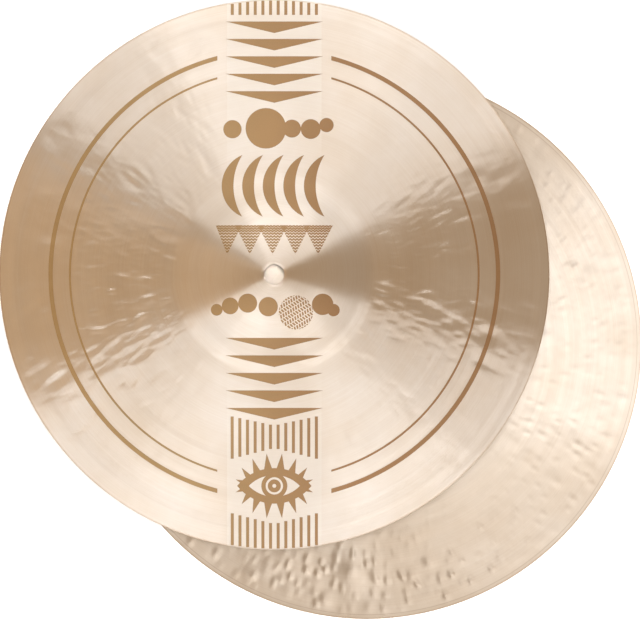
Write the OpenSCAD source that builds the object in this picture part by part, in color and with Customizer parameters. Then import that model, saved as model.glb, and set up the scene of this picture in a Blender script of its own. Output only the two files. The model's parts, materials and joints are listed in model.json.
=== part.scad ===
// A matched pair of bronze cymbals, lying as they are put down: the lower one flat on its rim, the upper one
// resting on the lower one's bell with its far rim on the table. Both have the same outline: a domed bell with a
// centre hole, a shallow bow, and a rim turned flat underneath. Z = 0 is the table, and the origin is the middle of
// the pair's footprint.

/* [Outline] */
// Diameter of each cymbal
cymbal_d = 355.6; // [330:0.1:380]
// Diameter of the centre hole
hole_d = 13; // [11:0.5:14]
// Diameter of the bell, where its dome meets the bow
bell_d = 120; // [110:1:126]
// Height of the bell's dome above the rim, on the axis
dome_h = 35; // [32:0.5:38]
// Rise of the bow's curve from the rim to the axis
bow_rise = 20; // [17:0.5:22]
// Shape of the bow: 2 is a shallow arc, and less is more like a cone
bow_power = 1.6; // [1.4:0.1:2]
// Height over which the bell's foot blends into the bow
foot_blend = 4; // [2:0.5:6]

/* [Metal] */
// Thickness of the upper cymbal at its rim
upper_rim_t = 0.9; // [0.7:0.05:1.2]
// Thickness of the upper cymbal at its hole
upper_bell_t = 1.35; // [1.2:0.05:1.6]
// Thickness of the lower, heavier cymbal at its rim
lower_rim_t = 1.1; // [0.9:0.05:1.5]
// Thickness of the lower cymbal at its hole
lower_bell_t = 1.6; // [1.4:0.05:2]
// Width of the flat land turned on the underside of the rim
rim_land = 0.8; // [0.5:0.1:1.2]
// Chamfer on the rim's upper corner and on the hole's
edge_chamfer = 0.2; // [0.1:0.05:0.3]

/* [Layout] */
// Distance between the two rims' centres, seen from above
centre_gap = 78; // [66:1:82]
// Bearing of the lower cymbal from the upper one, anticlockwise from +X
bearing = -37; // [-45:1:-30]
// Room left where the upper cymbal rests on the lower one's bell
rest_gap = 0.3; // [0.2:0.05:0.5]

/* [Hidden] */

rim_r = cymbal_d / 2;
hole_r = hole_d / 2;
bell_r = bell_d / 2;
bow_steps = 26;
bell_steps = 22;
foot_reach = 8;
lean_steps = 24;
lean_most = 12;
probe_step = 0.5;
bronze = [0.86, 0.74, 0.58];
pale_bronze = [0.9, 0.8, 0.66];

// The bow is a power curve, and the bell a round dome that meets it at bell_r. A polynomial maximum joins the two
// with a smooth foot.
function bow_z(r) = bow_rise * (1 - pow(r / rim_r, bow_power));
dome_drop = dome_h - bow_z(bell_r);
dome_r = (bell_r * bell_r + dome_drop * dome_drop) / (2 * dome_drop);
function dome_z(r) = r < dome_r ? dome_h - dome_r + sqrt(dome_r * dome_r - r * r) : dome_h - dome_r;
function clamp01(x) = max(0, min(1, x));
function joined(a, b, k) = let (h = clamp01(0.5 + (a - b) / (2 * k))) b + (a - b) * h + k * h * (1 - h);
function outline_z(r) = joined(dome_z(r), bow_z(r), foot_blend);

// Upper and lower surface at radius r, for a cymbal that thins from its hole to its rim.
function thickness(r, rim_t, bell_t) = rim_t + (bell_t - rim_t) * (1 - r / rim_r);
function top_z(r, rim_t) = rim_t + outline_z(r);
function under_z(r, rim_t, bell_t) = top_z(r, rim_t) - thickness(r, rim_t, bell_t);

// Radii of the outline's points: close together on the bell and its foot, wider apart on the bow.
foot_r = bell_r + foot_reach;
function radii(first, last) = concat(
    [for (i = [0 : bell_steps - 1]) first + (foot_r - first) * i / bell_steps],
    [for (i = [0 : bow_steps]) foot_r + (last - foot_r) * i / bow_steps]
);

module cymbal(rim_t, bell_t) {
    outer = [for (r = radii(hole_r + edge_chamfer, rim_r - edge_chamfer)) [r, top_z(r, rim_t)]];
    rim = [[rim_r, rim_t - edge_chamfer], [rim_r, 0], [rim_r - rim_land, 0]];
    inner_radii = radii(hole_r, rim_r - 3 * rim_land);
    last = len(inner_radii) - 1;
    inner = [for (i = [last : -1 : 0]) [inner_radii[i], under_z(inner_radii[i], rim_t, bell_t)]];
    hole_top = [[hole_r, top_z(hole_r, rim_t) - edge_chamfer]];
    rotate_extrude($fn = 180)
        polygon(concat(outer, rim, inner, hole_top));
}

// The upper cymbal leans about the point of its rim that touches the table. Its lean is found by halving until its
// underside clears the lower cymbal by rest_gap, measured in the upright plane through both axes.
function leant(u, lean) =
    let (z = under_z(abs(u), upper_rim_t, upper_bell_t))
    [(u + rim_r) * cos(lean) - z * sin(lean), (u + rim_r) * sin(lean) + z * cos(lean)];
function lower_top(s) = abs(s) > rim_r ? 0 : top_z(max(abs(s), hole_r), lower_rim_t);
function clearance(lean) = min([
    for (u = [hole_r : probe_step : rim_r - rim_land])
        let (p = leant(u, lean), s = p[0] - rim_r * cos(lean) - centre_gap)
            p[1] - lower_top(s)
]);
function found_lean(low, high, n) =
    let (mid = (low + high) / 2)
    n == 0 ? mid : clearance(mid) > rest_gap ? found_lean(low, mid, n - 1) : found_lean(mid, high, n - 1);
lean = found_lean(0, lean_most, lean_steps);

module lower_cymbal() {
    color(pale_bronze)
        rotate([0, 0, bearing])
            translate([centre_gap / 2, 0, 0])
                cymbal(lower_rim_t, lower_bell_t);
}

module upper_cymbal() {
    color(bronze)
        rotate([0, 0, bearing])
            translate([-centre_gap / 2 - rim_r * cos(lean), 0, 0])
                rotate([0, -lean, 0])
                    translate([rim_r, 0, 0])
                        cymbal(upper_rim_t, upper_bell_t);
}

lower_cymbal();
upper_cymbal();
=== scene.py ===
"""The looks of a pair of bronze cymbals: two hammered and lathed shells, and the upper one's etched artwork.

Lengths are in millimetres in each cymbal's own frame: its origin is the middle of the rim's underside, and
its Z runs up the axis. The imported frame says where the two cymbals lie. Lamps, the floor and the camera's
distance are in metres.
"""

import json
import math
import random

import bpy
import numpy as np
from mathutils import Matrix, Vector
from mathutils.geometry import delaunay_2d_cdt


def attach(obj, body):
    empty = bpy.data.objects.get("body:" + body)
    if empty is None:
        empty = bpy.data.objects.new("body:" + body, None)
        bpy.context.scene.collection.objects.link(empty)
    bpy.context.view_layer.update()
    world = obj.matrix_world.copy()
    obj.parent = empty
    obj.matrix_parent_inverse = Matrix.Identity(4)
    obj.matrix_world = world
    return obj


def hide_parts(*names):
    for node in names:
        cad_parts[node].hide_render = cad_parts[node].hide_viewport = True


MM = 0.001

# The cymbals' outline, as the CAD model has it.
RIM_R = 177.8
HOLE_R = 6.5
BELL_R = 60.0
DOME_H = 35.0
BOW_RISE = 20.0
BOW_POWER = 1.6
FOOT_BLEND = 4.0
RIM_LAND = 0.8
EDGE_CHAMFER = 0.2
UPPER_METAL = {"rim_t": 0.9, "bell_t": 1.35}
LOWER_METAL = {"rim_t": 1.1, "bell_t": 1.6}

# Half the width of the pale band that holds the artwork.
BAND_HALF = 30.5

# The rim's rounding: over the top as a share of the sheet's thickness, and at the foot in millimetres.
RIM_ROUND = 0.35
FOOT_ROUND = 0.15

# How finely a shell is cut up.
SPOKES = 690
BELL_RINGS = 22
BOW_RINGS = 70
UNDER_RINGS = 42
CORNER_STEPS = 3


# ---------------------------------------------------------------- outline


def bow_z(r):
    return BOW_RISE * (1 - (r / RIM_R) ** BOW_POWER)


DOME_DROP = DOME_H - bow_z(BELL_R)
DOME_R = (BELL_R**2 + DOME_DROP**2) / (2 * DOME_DROP)


def dome_z(r):
    return DOME_H - DOME_R + np.sqrt(np.maximum(DOME_R**2 - r**2, 0))


def outline_z(r):
    """The bell's dome and the bow, joined by a smooth foot."""
    dome, bow = dome_z(r), bow_z(r)
    share = np.clip(0.5 + (dome - bow) / (2 * FOOT_BLEND), 0, 1)
    return bow + (dome - bow) * share + FOOT_BLEND * share * (1 - share)


def top_z(r, metal):
    return metal["rim_t"] + outline_z(r)


def under_z(r, metal):
    rim_t, bell_t = metal["rim_t"], metal["bell_t"]
    return top_z(r, metal) - (rim_t + (bell_t - rim_t) * (1 - r / RIM_R))


# ---------------------------------------------------------------- places


def place_of(mount_name, metal):
    """The cymbal's own frame as a matrix: its origin lies down the axis from the middle of the hole."""
    mounts = {m["name"]: m for m in frame["record"]["mounts"]}
    mount = mounts[mount_name]
    axis = Vector(mount["axis"]).normalized()
    if axis.z < 0:
        axis = -axis
    hole_z = (under_z(HOLE_R, metal) + top_z(HOLE_R, metal) - EDGE_CHAMFER) / 2
    middle = Vector(mount["pos_m"]) - axis * hole_z * MM
    across = (Vector((1, 0, 0)) - axis * axis.x).normalized()
    turn = Matrix((across, axis.cross(across), axis)).transposed()
    return Matrix.Translation(middle) @ turn.to_4x4()


# ---------------------------------------------------------------- hammering


# How marks differ: their places round a ring and across it, in gaps, their turn in radians, and their sizes.
MARK_SHIFT = 0.4
MARK_STRAY = 0.5
MARK_TURN = 0.22
LENGTH_SPREAD = (0.7, 1.3)
WIDTH_SPREAD = (0.75, 1.35)
DEPTH_SPREAD = (0.15, 1.0)
DEPTH_POWER = 1.5


def hammer_marks(seed, rings, gap, length, width, depth, strength_at):
    """Marks in rough rings, each as (x, y, direction, half length, half width, depth)."""
    draw = random.Random(seed)
    marks = []
    for ring_r in rings:
        count = int(2 * math.pi * ring_r / gap)
        start = draw.uniform(0, 2 * math.pi)
        for k in range(count):
            angle = start + 2 * math.pi * (k + draw.uniform(-MARK_SHIFT, MARK_SHIFT)) / count
            r = ring_r + draw.uniform(-MARK_STRAY, MARK_STRAY) * gap
            direction = angle + draw.gauss(0, MARK_TURN)
            half_l = length * draw.uniform(*LENGTH_SPREAD)
            half_w = width * draw.uniform(*WIDTH_SPREAD)
            deep = depth * draw.uniform(*DEPTH_SPREAD) ** DEPTH_POWER * strength_at(r, angle)
            marks.append((r * math.cos(angle), r * math.sin(angle), direction, half_l, half_w, deep))
    return marks


# How far from its middle a mark is worked out, in half lengths, and how high and wide a bank surrounds it.
MARK_REACH = 3.2
MARK_BANK = 0.3
MARK_BANK_SPREAD = 2.5


def hammered(x, y, marks):
    """How far the marks move the sheet at each point: down in a mark, and a little up around it."""
    moved = np.zeros_like(x)
    for mark_x, mark_y, direction, length, width, depth in marks:
        dx, dy = x - mark_x, y - mark_y
        near = (np.abs(dx) < MARK_REACH * length) & (np.abs(dy) < MARK_REACH * length)
        dx, dy = dx[near], dy[near]
        along = (dx * math.cos(direction) + dy * math.sin(direction)) / length
        across = (dy * math.cos(direction) - dx * math.sin(direction)) / width
        reach = along**2 + across**2
        moved[near] -= depth * (np.exp(-reach) - MARK_BANK * np.exp(-reach / MARK_BANK_SPREAD))
    return moved


def smooth_step(low, high, value):
    """0 up to low, 1 from high, and a smooth rise between them."""
    t = min(max((value - low) / (high - low), 0), 1)
    return t * t * (3 - 2 * t)


def hill(angle, middle_deg, width):
    """1 at the bearing middle_deg, falling away smoothly on both sides; width is in radians."""
    turn = (angle - math.radians(middle_deg) + math.pi) % (2 * math.pi) - math.pi
    return math.exp(-((turn / width) ** 2))


# Where marks are strong: the bearing in degrees, and the spread in radians.
LEFT_SIDE = (190, 0.6)
RIGHT_SIDE = (350, 0.5)
FRONT_EDGE = (272, 0.7)


def sheet_strength(r, angle):
    """Strongest left and right of the bell, faint in the band of artwork, and nothing on the bell."""
    across = abs(r * math.cos(angle))
    in_band = 1 - smooth_step(BAND_HALF + 4, BAND_HALF + 14, across)
    sides = 0.4 + 0.6 * hill(angle, *LEFT_SIDE) + 0.4 * hill(angle, *RIGHT_SIDE)
    return sides * smooth_step(BELL_R + 1, BELL_R + 10, r) * (1 - 0.85 * in_band)


def stroke_strength(r, angle):
    """Small strokes also fade out towards the rim."""
    return sheet_strength(r, angle) * (1 - 0.55 * smooth_step(122, 140, r))


def lower_strength(r, angle):
    """The lower cymbal was struck hardest along the edge that faces the front."""
    front = hill(angle, *FRONT_EDGE) * smooth_step(108, 148, r)
    return smooth_step(BELL_R + 2, BELL_R + 20, r) * (0.28 + 0.9 * front)


# Each family of marks: seed, radii of its rings, gap, half length, half width, depth, where it is strong.
UPPER_MARKS = (
    hammer_marks(11, np.arange(64, 172, 4.5), 4.6, 2.8, 1.3, 0.22, stroke_strength)
    + hammer_marks(12, np.arange(67, 173, 7.0), 8.0, 4.6, 2.0, 0.34, stroke_strength)
    + hammer_marks(13, np.arange(76, 176, 15.0), 19.0, 11.0, 5.0, 0.6, sheet_strength)
)
LOWER_MARKS = (
    hammer_marks(21, np.arange(72, 174, 7.5), 9.0, 2.8, 1.6, 0.6, lower_strength)
    + hammer_marks(22, np.arange(72, 174, 16.0), 20.0, 6.0, 4.0, 0.5, lower_strength)
    + hammer_marks(23, np.arange(80, 174, 28.0), 36.0, 17.0, 13.0, 0.5, lower_strength)
)


# ---------------------------------------------------------------- shells


def corner(r, z, radius, start, steps=CORNER_STEPS):
    """A rounded corner of a quarter turn, centred on (r, z), going clockwise from the angle start."""
    angles = [start - math.pi / 2 * k / steps for k in range(steps + 1)]
    return [(r + radius * math.cos(a), z + radius * math.sin(a)) for a in angles]


def section(metal):
    """The sheet's closed outline in (r, z): over the top, round the rim, back underneath, and up the hole."""
    edge = RIM_ROUND * metal["rim_t"]
    bell_r = np.linspace(HOLE_R + EDGE_CHAMFER, BELL_R, BELL_RINGS, endpoint=False)
    top_r = np.concatenate([bell_r, np.linspace(BELL_R, RIM_R - edge, BOW_RINGS)])
    under_r = np.linspace(RIM_R - 3 * RIM_LAND, HOLE_R, UNDER_RINGS)
    points = [(r, float(top_z(r, metal))) for r in top_r[:-1]]
    points += corner(RIM_R - edge, metal["rim_t"] - edge, edge, math.pi / 2)
    points += corner(RIM_R - FOOT_ROUND, FOOT_ROUND, FOOT_ROUND, 0)
    points += [(RIM_R - RIM_LAND, 0.0)]
    points += [(r, float(under_z(r, metal))) for r in under_r]
    points += [(HOLE_R, float(top_z(HOLE_R, metal)) - EDGE_CHAMFER)]
    return np.array(points)


def placed(mesh, place, material):
    """A piece whose mesh is moved to its place, so that its object stays at the frame's origin."""
    mesh.transform(place)
    mesh.materials.append(material)
    piece = bpy.data.objects.new(mesh.name, mesh)
    bpy.context.scene.collection.objects.link(piece)
    return piece


def smooth_mesh(name, points, faces):
    mesh = bpy.data.meshes.new(name)
    mesh.from_pydata(points, [], faces)
    mesh.validate()
    mesh.shade_smooth()
    return mesh


# The hammer marks end this far inside the rim, and fade out over this width.
UNMARKED_RIM = 1.5
MARK_FADE = 6


def shell(name, metal, marks, place, material):
    """A cymbal: its section turned about the axis, with the hammer marks pressed through the whole sheet."""
    outline = section(metal)
    turns = np.arange(SPOKES) * 2 * math.pi / SPOKES
    r, z = outline[:, 0][:, None], outline[:, 1][:, None]
    x, y = r * np.cos(turns), r * np.sin(turns)
    free = np.clip((RIM_R - UNMARKED_RIM - r) / MARK_FADE, 0, 1)
    height = z + hammered(x.ravel(), y.ravel(), marks).reshape(x.shape) * free
    points = np.stack([x, y, height], -1).reshape(-1, 3) * MM
    rows = len(outline)
    row, col = np.meshgrid(np.arange(rows), np.arange(SPOKES), indexing="ij")
    next_row, next_col = (row + 1) % rows, (col + 1) % SPOKES
    corners = [(row, col), (next_row, col), (next_row, next_col), (row, next_col)]
    faces = np.stack([a * SPOKES + b for a, b in corners], -1).reshape(-1, 4)
    return placed(smooth_mesh(name, points.tolist(), faces.tolist()), place, material)


# ---------------------------------------------------------------- etched artwork

PLATE_RISE = 0.06
PLATE_SINK = 0.12
PLATE_STEP = 2.0
PLATE_SHARP = math.radians(40)
MERGE_GAP = 1e-5


def stepped(loop):
    """The loop with points added so that no side is longer than PLATE_STEP."""
    result = []
    for (x0, y0), (x1, y1) in zip(loop, loop[1:] + loop[:1]):
        count = max(1, math.ceil(math.hypot(x1 - x0, y1 - y0) / PLATE_STEP))
        result += [(x0 + (x1 - x0) * k / count, y0 + (y1 - y0) * k / count) for k in range(count)]
    return result


def inside(x, y, loop):
    """Whether each point lies inside the loop, by counting crossings."""
    found = np.zeros(x.shape, bool)
    for (x0, y0), (x1, y1) in zip(loop, loop[1:] + loop[:1]):
        if y0 == y1:
            continue
        crosses = (y0 > y) != (y1 > y)
        found ^= crosses & (x < (x1 - x0) * (y - y0) / (y1 - y0) + x0)
    return found


def covered(x, y, layers):
    """Whether each point is in the shape, where each layer is (adds, loops) and later layers win."""
    found = np.zeros(x.shape, bool)
    for adds, loops in layers:
        for loop in loops:
            found[inside(x, y, loop)] = adds
    return found


def filled(layers):
    """Triangles that fill a shape drawn in layers, with points every PLATE_STEP inside."""
    outlines = [stepped(loop) for _, loops in layers for loop in loops]
    points = [Vector(p) for loop in outlines for p in loop]
    edges, start = [], 0
    for loop in outlines:
        edges += [(start + k, start + (k + 1) % len(loop)) for k in range(len(loop))]
        start += len(loop)
    corners = np.array(points)
    low, high = corners.min(0), corners.max(0)
    spots = [np.arange(low[k] + PLATE_STEP / 2, high[k], PLATE_STEP) for k in (0, 1)]
    grid_x, grid_y = (grid.ravel() for grid in np.meshgrid(*spots))
    kept = covered(grid_x, grid_y, layers)
    points += [Vector(p) for p in zip(grid_x[kept], grid_y[kept])]
    flat, _, triangles, _, _, _ = delaunay_2d_cdt(points, edges, [], 0, MERGE_GAP)
    flat = np.array(flat)
    triangles = np.array([t for t in triangles if len(t) == 3])
    middle = flat[triangles].mean(1)
    return flat, triangles[covered(middle[:, 0], middle[:, 1], layers)]


def open_edges(triangles):
    """The edges that only one triangle has, in its own direction."""
    found = {}
    for a, b, c in triangles:
        for edge in ((a, b), (b, c), (c, a)):
            if edge[::-1] in found:
                del found[edge[::-1]]
            else:
                found[edge] = True
    return found


def etched(name, layers, place, material):
    """A thin closed plate in the top of the upper cymbal, following its surface and its hammer marks."""
    flat, triangles = filled(layers)
    used, renumbered = np.unique(triangles, return_inverse=True)
    flat, triangles = flat[used], renumbered.reshape(triangles.shape)
    x, y = flat[:, 0], flat[:, 1]
    surface = top_z(np.hypot(x, y), UPPER_METAL) + hammered(x, y, UPPER_MARKS)
    over = np.stack([x, y, surface + PLATE_RISE], -1)
    below = np.stack([x, y, surface - PLATE_SINK], -1)
    count = len(flat)
    faces = triangles.tolist() + (triangles[:, ::-1] + count).tolist()
    faces += [[b, a, a + count, b + count] for a, b in open_edges(triangles.tolist())]
    points = (np.concatenate([over, below]) * MM).tolist()
    mesh = smooth_mesh(name, points, faces)
    mesh.set_sharp_from_angle(angle=PLATE_SHARP)
    return placed(mesh, place, material)


def box_loop(left, bottom, right, top):
    return [(left, bottom), (right, bottom), (right, top), (left, top)]


def disc(x, y, r, sides=40):
    return arc(x, y, r, 0, 2 * math.pi, sides)[:-1]


def arc(x, y, r, start, end, steps):
    turns = [start + (end - start) * k / steps for k in range(steps + 1)]
    return [(x + r * math.cos(t), y + r * math.sin(t)) for t in turns]


# Each ring line: its inner and outer radius, then how far from the band's middle all of them stop.
RING_LINES = [(143.1, 145.9), (131.3, 132.6)]
RING_GAP_HALF = 36.8
RING_STEPS = 200


def ring_arcs(inner_r, outer_r):
    """The two arcs of a ring line that stops at a straight upright cut on each side of the band."""
    outer_start = math.acos(RING_GAP_HALF / outer_r)
    inner_start = math.acos(RING_GAP_HALF / inner_r)
    right = arc(0, 0, outer_r, -outer_start, outer_start, RING_STEPS)
    right += arc(0, 0, inner_r, inner_start, -inner_start, RING_STEPS)
    return [right, [(-x, y) for x, y in right]]


STRIPE_W = 1.95
STRIPE_PITCH = 4.94
STRIPE_COUNT = 12
STRIPE_SPAN = (STRIPE_COUNT - 1) / 2 * STRIPE_PITCH
STRIPE_REACH = RIM_R - 0.6


def stripes(bottom_at, top_at):
    """Upright stripes whose ends follow two functions of the stripe's x."""
    loops = []
    for k in range(STRIPE_COUNT):
        x = (k - (STRIPE_COUNT - 1) / 2) * STRIPE_PITCH
        loops.append(box_loop(x - STRIPE_W / 2, bottom_at(x), x + STRIPE_W / 2, top_at(x)))
    return loops


def slanted(middle_y, rise):
    """A stripe's end at middle_y in the band's middle, and higher by rise at the outermost stripes."""
    return lambda x: middle_y + rise * (abs(x) / STRIPE_SPAN)


def back_rim(x):
    """How far up a stripe at x can go before it meets the rim."""
    return math.sqrt(STRIPE_REACH**2 - (abs(x) + STRIPE_W / 2) ** 2)


def front_rim(x):
    return -back_rim(x)


CHEVRON_COUNT = 5
CHEVRON_PITCH = 11.3
CHEVRON_HALF = 31.5
CHEVRON_H = 7.5


def chevrons(first_top):
    tops = [first_top - CHEVRON_PITCH * k for k in range(CHEVRON_COUNT)]
    return [[(-CHEVRON_HALF, top), (0, top - CHEVRON_H), (CHEVRON_HALF, top)] for top in tops]


CRESCENT_COUNT = 5
CRESCENT_PITCH = 13.25
CRESCENT_FIRST_X = -20.6
CRESCENT_Y = 57.1
CRESCENT_HALF = 19.95
CRESCENT_BULGES = (13.3, 5.7)
BOWED_STEPS = 24


def crescents():
    """Crescents open to the right, each between two arcs through the same two tips."""
    loops = []
    for k in range(CRESCENT_COUNT):
        tip_x = CRESCENT_FIRST_X + CRESCENT_PITCH * k
        sides = []
        for bulge in CRESCENT_BULGES:
            r = (CRESCENT_HALF**2 + bulge**2) / (2 * bulge)
            reach = math.asin(CRESCENT_HALF / r)
            start, end = math.pi - reach, math.pi + reach
            sides.append(arc(tip_x - bulge + r, CRESCENT_Y, r, start, end, BOWED_STEPS))
        loops.append(sides[0] + sides[1][::-1][1:-1])
    return loops


def zigzag(left, right, y, pitch, height, thick):
    """One zigzag line as a row of slanted bars that share their ends."""
    bars = []
    count = math.ceil((right - left) / pitch * 2)
    for k in range(count):
        x0, x1 = left + k * pitch / 2, left + (k + 1) * pitch / 2
        y0, y1 = (y, y + height) if k % 2 else (y + height, y)
        bars.append([(x0, y0), (x1, y1), (x1, y1 + thick), (x0, y0 + thick)])
    return bars


def clipped(loop, window):
    """The part of a convex loop inside an anticlockwise convex window, or nothing."""
    result = loop
    for (ax, ay), (bx, by) in zip(window, window[1:] + window[:1]):
        kept = []
        depths = [(bx - ax) * (y - ay) - (by - ay) * (x - ax) for x, y in result]
        for k, (x, y) in enumerate(result):
            x0, y0 = result[k - 1]
            before, here = depths[k - 1], depths[k]
            if (before > 0) != (here > 0):
                t = before / (before - here)
                kept.append((x0 + (x - x0) * t, y0 + (y - y0) * t))
            if here > 0:
                kept.append((x, y))
        result = kept
        if len(result) < 3:
            return None
    return result


def turned(loop, x, y, angle):
    c, s = math.cos(angle), math.sin(angle)
    return [(x + px * c - py * s, y + px * s + py * c) for px, py in loop]


FLAG_COUNT = 5
FLAG_TOP = 31.6
FLAG_TIP = 12.8
FLAG_HALF = 9.5
FLAG_PITCH = 14.65
FLAGS_MIDDLE = -1.0
FLAGS_LEFT_END = -37.6
ZIGZAG_PITCH = 2.2
ZIGZAG_H = 0.95
ZIGZAG_DROP = 0.3
ZIGZAG_HALF = 9.9

# A flag's rows of zigzag, as (height, thickness): close rows along the top, and spaced ones below them.
CLOSE_ROWS = [(FLAG_TOP - 1.4 - 1.55 * k, 1.3) for k in range(3)]
SPACED_ROWS = [(FLAG_TOP - 6.2 - 1.9 * k, 1.25) for k in range(8)]


def bunting():
    """Hanging triangles of zigzag rows. The close rows overlap from flag to flag and join their tops."""
    loops = []
    for k in range(FLAG_COUNT):
        x = FLAGS_MIDDLE + (k - (FLAG_COUNT - 1) // 2) * FLAG_PITCH
        window = [(x, FLAG_TIP), (x + FLAG_HALF, FLAG_TOP), (max(x - FLAG_HALF, FLAGS_LEFT_END), FLAG_TOP)]
        for y, thick in CLOSE_ROWS + SPACED_ROWS:
            left, right = x - ZIGZAG_HALF, x + ZIGZAG_HALF
            bars = zigzag(left, right, y - ZIGZAG_DROP, ZIGZAG_PITCH, ZIGZAG_H, thick)
            loops += [part for part in (clipped(bar, window) for bar in bars) if part]
    return loops


STROKE_ROW_H = 2.75
STROKE_ROW_GAP = 0.45
STROKE_PITCH = 1.85
STROKE_W = 1.2
STROKE_LEAN = 0.3
STROKE_TURN = math.radians(31)


def patterned_disc(x, y, r):
    """A disc of slanting rows, each of short strokes that lean one way and then the other."""
    window = disc(x, y, r, 48)
    rows = math.ceil(r / STROKE_ROW_H) + 1
    columns = math.ceil(r / STROKE_PITCH) + 2
    loops = []
    for row in range(-rows, rows + 1):
        low, high = (row - 0.5) * STROKE_ROW_H, (row + 0.5) * STROKE_ROW_H - STROKE_ROW_GAP
        lean = STROKE_LEAN if row % 2 else -STROKE_LEAN
        for k in range(-columns, columns + 1):
            left = (k + 0.5 * (row % 2)) * STROKE_PITCH
            right = left + STROKE_W
            stroke = [(left - lean, low), (right - lean, low), (right + lean, high), (left + lean, high)]
            part = clipped(turned(stroke, x, y, STROKE_TURN), window)
            if part:
                loops.append(part)
    return loops


def lens_shape(half_w, half_h, y):
    """A pointed oval between two arcs."""
    r = (half_w**2 + half_h**2) / (2 * half_h)
    reach = math.asin(half_w / r)
    over = arc(0, y + half_h - r, r, math.pi / 2 - reach, math.pi / 2 + reach, BOWED_STEPS)
    under = arc(0, y - half_h + r, r, 1.5 * math.pi - reach, 1.5 * math.pi + reach, BOWED_STEPS)
    return over + under[1:-1]


RAY_COUNT = 16
RAY_SHARE = 0.75


def rays(y, inner, outer):
    """Evenly spaced rays round an oval, each a thin triangle; inner and outer are half sizes (w, h)."""

    def spot(size, angle):
        return (size[0] * math.cos(angle), y + size[1] * math.sin(angle))

    half = math.pi / RAY_COUNT * RAY_SHARE
    middles = [2 * math.pi * (k + 0.5) / RAY_COUNT for k in range(RAY_COUNT)]
    return [[spot(inner, t - half), spot(outer, t), spot(inner, t + half)] for t in middles]


def medallion(y):
    """A plain eye: an almond with rays, its white, and rings in the middle. Each layer adds or takes away."""
    return [
        (True, [lens_shape(24, 11.5, y)] + rays(y, (20, 10), (25.5, 21.4))),
        (False, [lens_shape(16.5, 7, y)]),
        (True, [disc(0, y, 8.4)]),
        (False, [disc(0, y, 5.6)]),
        (True, [disc(0, y, 4.2)]),
        (False, [disc(0, y, 1.3, 16)]),
    ]


# Discs as (x, y, radius).
BACK_DISCS = [
    (-27, 93.7, 5.9),
    (-5.4, 94.3, 13.1),
    (11.4, 94.1, 5.8),
    (23.5, 93.8, 6.4),
    (33.7, 96.4, 4.6),
]
FRONT_DISCS = [
    (-37, -22.8, 3.8),
    (-28.3, -20.3, 5.4),
    (-17, -18.5, 6.1),
    (-3.8, -20.8, 6.2),
    (31.2, -19.3, 6.9),
    (38.2, -23, 4.0),
]
PATTERNED_DISC = (14, -24.5, 11)
MEDALLION_Y = -136.5


# ---------------------------------------------------------------- materials

UPPER_BRIGHT = (0.88, 0.765, 0.64, 1)
UPPER_DEEP = (0.78, 0.63, 0.475, 1)
LOWER_BRIGHT = (0.88, 0.775, 0.66, 1)
LOWER_DEEP = (0.765, 0.635, 0.50, 1)
BAND_TONE = (0.93, 0.84, 0.72, 1)
EDGE_TONE = (0.66, 0.49, 0.34, 1)
# Painted shade: the dark tone of a lathe groove just inside the lower cymbal's rim.
GROOVE_SHADE_TONE = (0.5, 0.37, 0.26, 1)
# The etch's brown at its two ends: lighter and golden on the left, darker on the right. This is painted
# light, as if lit from the left.
ETCH_LIT_LEFT = (0.47, 0.29, 0.122, 1)
ETCH_SHADED_RIGHT = (0.385, 0.205, 0.088, 1)
BLACK = (0, 0, 0, 1)
PAPER_LOW = (0.93, 0.93, 0.93, 1)
PAPER_HIGH = (0.96, 0.96, 0.96, 1)


class Graph:
    """Short calls for building a material's nodes."""

    def __init__(self, name):
        self.material = bpy.data.materials.new(name)
        self.material.use_nodes = True
        self.nodes = self.material.node_tree.nodes
        self.links = self.material.node_tree.links
        self.shader = self.nodes["Principled BSDF"]

    def put(self, socket, value):
        if isinstance(value, bpy.types.NodeSocket):
            self.links.new(value, socket)
        elif value is not None:
            socket.default_value = value

    def node(self, kind, values=(), **settings):
        made = self.nodes.new(kind)
        for key, value in settings.items():
            setattr(made, key, value)
        for key, value in dict(values).items():
            self.put(made.inputs[key], value)
        return made

    def math(self, operation, a, b=None):
        made = self.node("ShaderNodeMath", {0: a}, operation=operation)
        self.put(made.inputs[1], b)
        return made.outputs[0]

    def weighed(self, a, a_share, b, b_share):
        """Two values times their shares, added up."""
        return self.math("ADD", self.math("MULTIPLY", a, a_share), self.math("MULTIPLY", b, b_share))

    def vector(self, operation, a, b=None, output=0):
        made = self.node("ShaderNodeVectorMath", {0: a}, operation=operation)
        self.put(made.inputs[1], b)
        return made.outputs[output]

    def ramp(self, value, low, high, out_low=0.0, out_high=1.0):
        values = {0: value, 1: low, 2: high, 3: out_low, 4: out_high}
        return self.node("ShaderNodeMapRange", values).outputs[0]

    def mix(self, share, a, b):
        made = self.node("ShaderNodeMix", {0: share, 6: a, 7: b}, data_type="RGBA")
        return made.outputs[2]

    def noise(self, vector, scale, detail=2.0, roughness=0.5):
        values = {"Vector": vector, "Scale": scale, "Detail": detail, "Roughness": roughness}
        return self.node("ShaderNodeTexNoise", values).outputs["Fac"]


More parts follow.
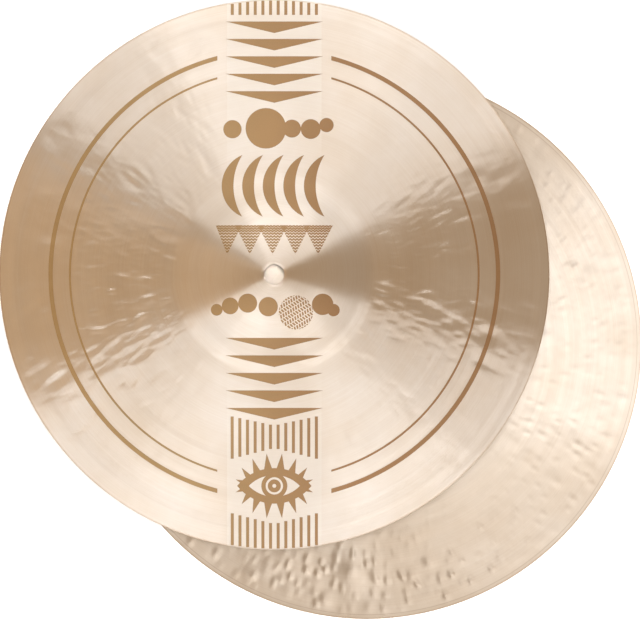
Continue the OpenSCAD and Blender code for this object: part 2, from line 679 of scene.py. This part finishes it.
def lathe_coordinates(graph, place):
    """Where a point is on a cymbal that lies at place.

    Returns the point in metres, how far across the cymbal it is and its radius in millimetres, the direction
    outward from the axis, and a vector that changes fast with the radius and slowly round the axis.
    """
    across, away, axis = (tuple(column.to_3d()) for column in place.transposed()[:3])
    point = graph.node("ShaderNodeTexCoord").outputs["Object"]
    arm = graph.vector("SUBTRACT", point, tuple(place.translation))
    height = graph.vector("DOT_PRODUCT", arm, axis, "Value")
    risen = graph.node("ShaderNodeVectorMath", {0: axis, "Scale": height}, operation="SCALE").outputs[0]
    flat = graph.vector("SUBTRACT", arm, risen)
    x = graph.math("MULTIPLY", graph.vector("DOT_PRODUCT", arm, across, "Value"), 1 / MM)
    radius = graph.math("MULTIPLY", graph.vector("LENGTH", flat, output="Value"), 1 / MM)
    outward = graph.vector("NORMALIZE", flat)
    round_x = graph.vector("DOT_PRODUCT", outward, across, "Value")
    round_y = graph.vector("DOT_PRODUCT", outward, away, "Value")
    rings = graph.node("ShaderNodeCombineXYZ", {0: round_x, 1: round_y, 2: radius}).outputs[0]
    return point, x, radius, outward, rings


def fine_grooves(graph, rings):
    return graph.noise(rings, 1.6, detail=3.0, roughness=0.65)


def lathed(graph, outward, relief, strength, depth):
    """The surface of lathed metal: fine relief, and highlights that spread along the radius."""
    bump = graph.node("ShaderNodeBump", {"Strength": strength, "Distance": depth, "Height": relief})
    settings = {"vector_type": "VECTOR", "convert_from": "OBJECT", "convert_to": "WORLD"}
    stretched = graph.node("ShaderNodeVectorTransform", {0: outward}, **settings).outputs[0]
    graph.put(graph.shader.inputs["Normal"], bump.outputs[0])
    graph.put(graph.shader.inputs["Tangent"], stretched)


def darker_edge(graph, colour, radius):
    """The last millimetre of the rim is darker."""
    edge = graph.ramp(radius, RIM_R - 1.1, RIM_R - 0.5)
    return graph.mix(graph.math("MULTIPLY", edge, 0.7), colour, EDGE_TONE)


def painted_groove_shade(graph, colour, radius):
    """A faint dark line just inside the rim: painted shade that stands for a lathe groove cut there."""
    off_line = graph.math("ABSOLUTE", graph.math("SUBTRACT", radius, RIM_R - 2.8))
    return graph.mix(graph.ramp(off_line, 0.15, 0.45, 0.35, 0.0), colour, GROOVE_SHADE_TONE)


def band_share(graph, x, radius):
    """1 in the pale band that holds the artwork, less towards the bell and 0 outside."""
    within = graph.ramp(graph.math("ABSOLUTE", x), BAND_HALF + 0.15, BAND_HALF - 0.15)
    return graph.math("MULTIPLY", within, graph.ramp(radius, 60, 120))


def bronze(name, place, bright, deep, band=False, groove_shade_line=False):
    """Bell bronze with circular lathing, in two tones that run in rings and clouds."""
    graph = Graph(name)
    point, x, radius, outward, rings = lathe_coordinates(graph, place)
    fine = fine_grooves(graph, rings)
    broad = graph.noise(rings, 0.22)
    clouds = graph.noise(point, 24.0, detail=4.0)
    specks = graph.noise(point, 900.0)
    tone = graph.ramp(graph.weighed(fine, 0.35, clouds, 0.65), 0.3, 0.7)
    colour = darker_edge(graph, graph.mix(tone, deep, bright), radius)
    rough = graph.ramp(graph.weighed(broad, 0.6, specks, 0.4), 0.3, 0.7, 0.30, 0.38)
    # Painted shade of a lathe groove just inside the rim.
    if groove_shade_line:
        colour = painted_groove_shade(graph, colour, radius)
    if band:
        within = band_share(graph, x, radius)
        colour = graph.mix(graph.math("MULTIPLY", within, 0.35), colour, BAND_TONE)
        rough = graph.math("ADD", rough, graph.math("MULTIPLY", within, 0.03))
    relief = graph.weighed(graph.weighed(fine, 0.7, broad, 1.6), 1.0, specks, 0.12)
    lathed(graph, outward, relief, strength=0.35, depth=0.00012)
    graph.put(graph.shader.inputs["Base Color"], colour)
    graph.put(graph.shader.inputs["Roughness"], rough)
    graph.shader.inputs["Metallic"].default_value = 1.0
    graph.shader.inputs["Anisotropic"].default_value = 1.0
    return graph.material


def etch(name, place):
    """Laser-etched brown: duller than the metal and slightly grainy, with the lathing faintly showing, and
    with painted light that makes it lighter on the left and darker on the right.
    """
    graph = Graph(name)
    point, x, _, outward, rings = lathe_coordinates(graph, place)
    grain = graph.noise(point, 1500.0)
    clouds = graph.noise(point, 25.0)
    tone = graph.ramp(graph.weighed(grain, 0.4, clouds, 0.6), 0.35, 0.65)
    # Painted light: the brown runs from lighter gold on the left to darker brown on the right, as if lit from
    # the left.
    painted_side_light = graph.mix(graph.ramp(x, -50, 50), ETCH_LIT_LEFT, ETCH_SHADED_RIGHT)
    relief = graph.math("ADD", grain, fine_grooves(graph, rings))
    lathed(graph, outward, relief, strength=0.3, depth=0.00008)
    graph.put(graph.shader.inputs["Base Color"], graph.mix(tone, graph.mix(0.12, painted_side_light, BLACK), painted_side_light))
    graph.put(graph.shader.inputs["Roughness"], graph.ramp(grain, 0.3, 0.7, 0.42, 0.5))
    graph.shader.inputs["Metallic"].default_value = 0.55
    graph.shader.inputs["Anisotropic"].default_value = 0.8
    return graph.material


# ---------------------------------------------------------------- studio

COOL = (0.77, 0.865, 1.0)
PALE = (0.93, 0.965, 1.0)
WARM = (1.0, 0.57, 0.14)
WHITE = (1.0, 1.0, 1.0)

# Soft boxes in a ring about the upper cymbal's axis. Each is (the bearing of its middle, how much of the ring
# it covers, both in degrees, and its power). The gaps on the left and the right make the dark sectors.
RING_R = 1.0
RING_H = 1.25
RING_BOX_H = 0.35
RING_BOXES = [
    (42, 30, 2.5),
    (72, 30, 3.3),
    (102, 30, 3.7),
    (131, 28, 1.95),
    (221, 27, 2.65),
    (247, 26, 3.2),
    (273, 27, 2.7),
    (300, 27, 3.2),
    (327.5, 30, 2.4),
]

# A dim lamp for what shows of the lower bell through the upper cymbal's hole.
THROUGH_HOLE = (-0.035, 0.026, 0.016)
NARROW = math.radians(3)

# The surroundings: brighter overhead. Heights are sines of the elevation.
SKY_TONE = (0.527, 0.43, 0.336, 1)
SKY_HEIGHTS = (0.55, 0.95)
SKY_STRENGTHS = (0.7, 0.95)


def softbox(name, place, size, power, colour, lights, aim=(0, 0, 0.02), spread=math.pi):
    """A rectangular lamp that the camera doesn't see, and that reaches only what is in one collection."""
    lamp = bpy.data.lights.new(name, "AREA")
    lamp.shape = "RECTANGLE"
    lamp.size, lamp.size_y = size
    lamp.energy = power
    lamp.color = colour
    lamp.spread = spread
    obj = bpy.data.objects.new(name, lamp)
    bpy.context.scene.collection.objects.link(obj)
    obj.location = place
    obj.rotation_mode = "QUATERNION"
    obj.rotation_quaternion = (Vector(aim) - Vector(place)).to_track_quat("-Z", "Y")
    obj.visible_camera = False
    obj.light_linking.receiver_collection = lights


def light_upper(place, lights):
    """The ring of cool soft boxes, and a low warm card on the left."""
    for number, (bearing, reach, power) in enumerate(RING_BOXES):
        angle = math.radians(bearing)
        spot = place @ Vector((RING_R * math.cos(angle), RING_R * math.sin(angle), RING_H))
        width = 2 * RING_R * math.tan(math.radians(reach) / 2)
        name = "ring_box_" + str(number)
        softbox(name, spot, (width, RING_BOX_H), power, COOL, lights, place.translation)
    softbox("card_left", (-0.65, 0.03, 0.6), (0.6, 0.35), 0.34, WARM, lights, (-0.14, 0.0, 0.02))


def light_lower(lights):
    softbox("box_right", (1.2, 0.05, 1.2), (1.2, 1.3), 6.3, COOL, lights)
    softbox("box_near_right", (0.95, -0.8, 1.15), (0.9, 1.2), 0.9, COOL, lights)
    softbox("box_above", (-0.05, 0.1, 2.6), (0.95, 0.95), 10.7, PALE, lights)
    softbox("box_over", (-0.16, 0.21, 3.0), (0.08, 0.08), 0.0014, WHITE, lights, THROUGH_HOLE, NARROW)


def surroundings():
    world = bpy.data.worlds.new("studio")
    world.use_nodes = True
    nodes, links = world.node_tree.nodes, world.node_tree.links
    direction = nodes.new("ShaderNodeTexCoord").outputs["Generated"]
    parts = nodes.new("ShaderNodeSeparateXYZ")
    links.new(direction, parts.inputs[0])
    strength = nodes.new("ShaderNodeMapRange")
    links.new(parts.outputs["Z"], strength.inputs[0])
    for socket, value in zip(list(strength.inputs)[1:5], SKY_HEIGHTS + SKY_STRENGTHS):
        socket.default_value = value
    background = nodes["Background"]
    background.inputs[0].default_value = SKY_TONE
    links.new(strength.outputs[0], background.inputs[1])
    bpy.context.scene.world = world
    bpy.context.scene.view_settings.view_transform = "Standard"


def lit_together(name, pieces):
    """A collection outside the scene, which only says what a lamp reaches."""
    made = bpy.data.collections.new(name)
    for piece in pieces:
        made.objects.link(piece)
    return made


# In metres. The floor is a hair below the lower cymbal.
FLOOR_HALF = 4.0
FLOOR_Z = -0.0003


def floor():
    half = FLOOR_HALF
    mesh = bpy.data.meshes.new("floor")
    corners = [(-half, -half), (half, -half), (half, half), (-half, half)]
    mesh.from_pydata([(x, y, FLOOR_Z) for x, y in corners], [], [(0, 1, 2, 3)])
    piece = bpy.data.objects.new("floor", mesh)
    bpy.context.scene.collection.objects.link(piece)
    graph = Graph("floor_paper")
    point = graph.node("ShaderNodeTexCoord").outputs["Object"]
    colour = graph.mix(graph.noise(point, 3.0), PAPER_LOW, PAPER_HIGH)
    graph.put(graph.shader.inputs["Base Color"], colour)
    graph.shader.inputs["Roughness"].default_value = 0.9
    mesh.materials.append(graph.material)
    return piece


# The camera's distance is in metres. The view's width and middle are in the upper cymbal's frame.
CAMERA_DISTANCE = 6.0
VIEW_W = 413.8
VIEW_X = 29.5
VIEW_Y = -22.6
SENSOR_W = 36.0


def camera(place):
    """A long lens straight above the upper cymbal, looking down its axis, so its rim is a true circle."""
    lens = bpy.data.cameras.new("camera")
    lens.sensor_width = SENSOR_W
    lens.lens = SENSOR_W * CAMERA_DISTANCE / (VIEW_W * MM)
    obj = bpy.data.objects.new("camera", lens)
    bpy.context.scene.collection.objects.link(obj)
    obj.matrix_world = place @ Matrix.Translation((VIEW_X * MM, VIEW_Y * MM, CAMERA_DISTANCE))
    bpy.context.scene.camera = obj


# ---------------------------------------------------------------- the scene

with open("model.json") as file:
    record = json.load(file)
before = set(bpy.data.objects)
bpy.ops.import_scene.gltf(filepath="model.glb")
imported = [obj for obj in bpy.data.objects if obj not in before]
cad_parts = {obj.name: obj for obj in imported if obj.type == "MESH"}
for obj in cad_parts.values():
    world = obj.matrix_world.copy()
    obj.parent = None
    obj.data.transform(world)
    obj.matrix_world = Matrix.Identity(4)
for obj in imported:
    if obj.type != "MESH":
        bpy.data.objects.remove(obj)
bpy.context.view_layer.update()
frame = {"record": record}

upper_place = place_of("upper_hole", UPPER_METAL)
lower_place = place_of("lower_hole", LOWER_METAL)
camera(upper_place)
paper = floor()

upper_bronze = bronze("upper_bronze", upper_place, UPPER_BRIGHT, UPPER_DEEP, band=True)
lower_bronze = bronze("lower_bronze", lower_place, LOWER_BRIGHT, LOWER_DEEP, groove_shade_line=True)
etched_brown = etch("etched_brown", upper_place)

upper = shell("upper_shell", UPPER_METAL, UPPER_MARKS, upper_place, upper_bronze)
lower = shell("lower_shell", LOWER_METAL, LOWER_MARKS, lower_place, lower_bronze)
for piece, body, slot in ((upper, "upper", "bronze"), (lower, "lower", "pale_bronze")):
    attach(piece, body)
    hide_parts(body + "_cymbal")

# Each plate's shape, drawn in layers of (adds, loops).
art = {
    "etched_rings": [(True, [loop for radii in RING_LINES for loop in ring_arcs(*radii)])],
    "etched_stripes_back": [(True, stripes(slanted(167.8, 0), back_rim))],
    "etched_stripes_middle": [(True, stripes(slanted(-112.0, -6.9), slanted(-97.4, 5.8)))],
    "etched_stripes_front": [(True, stripes(front_rim, slanted(-161.2, 6.9)))],
    "etched_chevrons_back": [(True, chevrons(163.5))],
    "etched_chevrons_front": [(True, chevrons(-40.9))],
    "etched_discs_back": [(True, [disc(*d) for d in BACK_DISCS])],
    "etched_crescents": [(True, crescents())],
    "etched_bunting": [(True, bunting())],
    "etched_discs_front": [(True, [disc(*d) for d in FRONT_DISCS])],
    "etched_patterned_disc": [(True, patterned_disc(*PATTERNED_DISC))],
    "etched_medallion": medallion(MEDALLION_Y),
}
plates = [etched(name, layers, upper_place, etched_brown) for name, layers in art.items()]
for plate in plates:
    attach(plate, "upper")

light_upper(upper_place, lit_together("upper_set", [upper] + plates))
light_lower(lit_together("lower_set", [lower]))
softbox("box_floor", (0.0, 0.0, 2.5), (2.0, 2.0), 120, WHITE, lit_together("floor_set", [paper]))
surroundings()
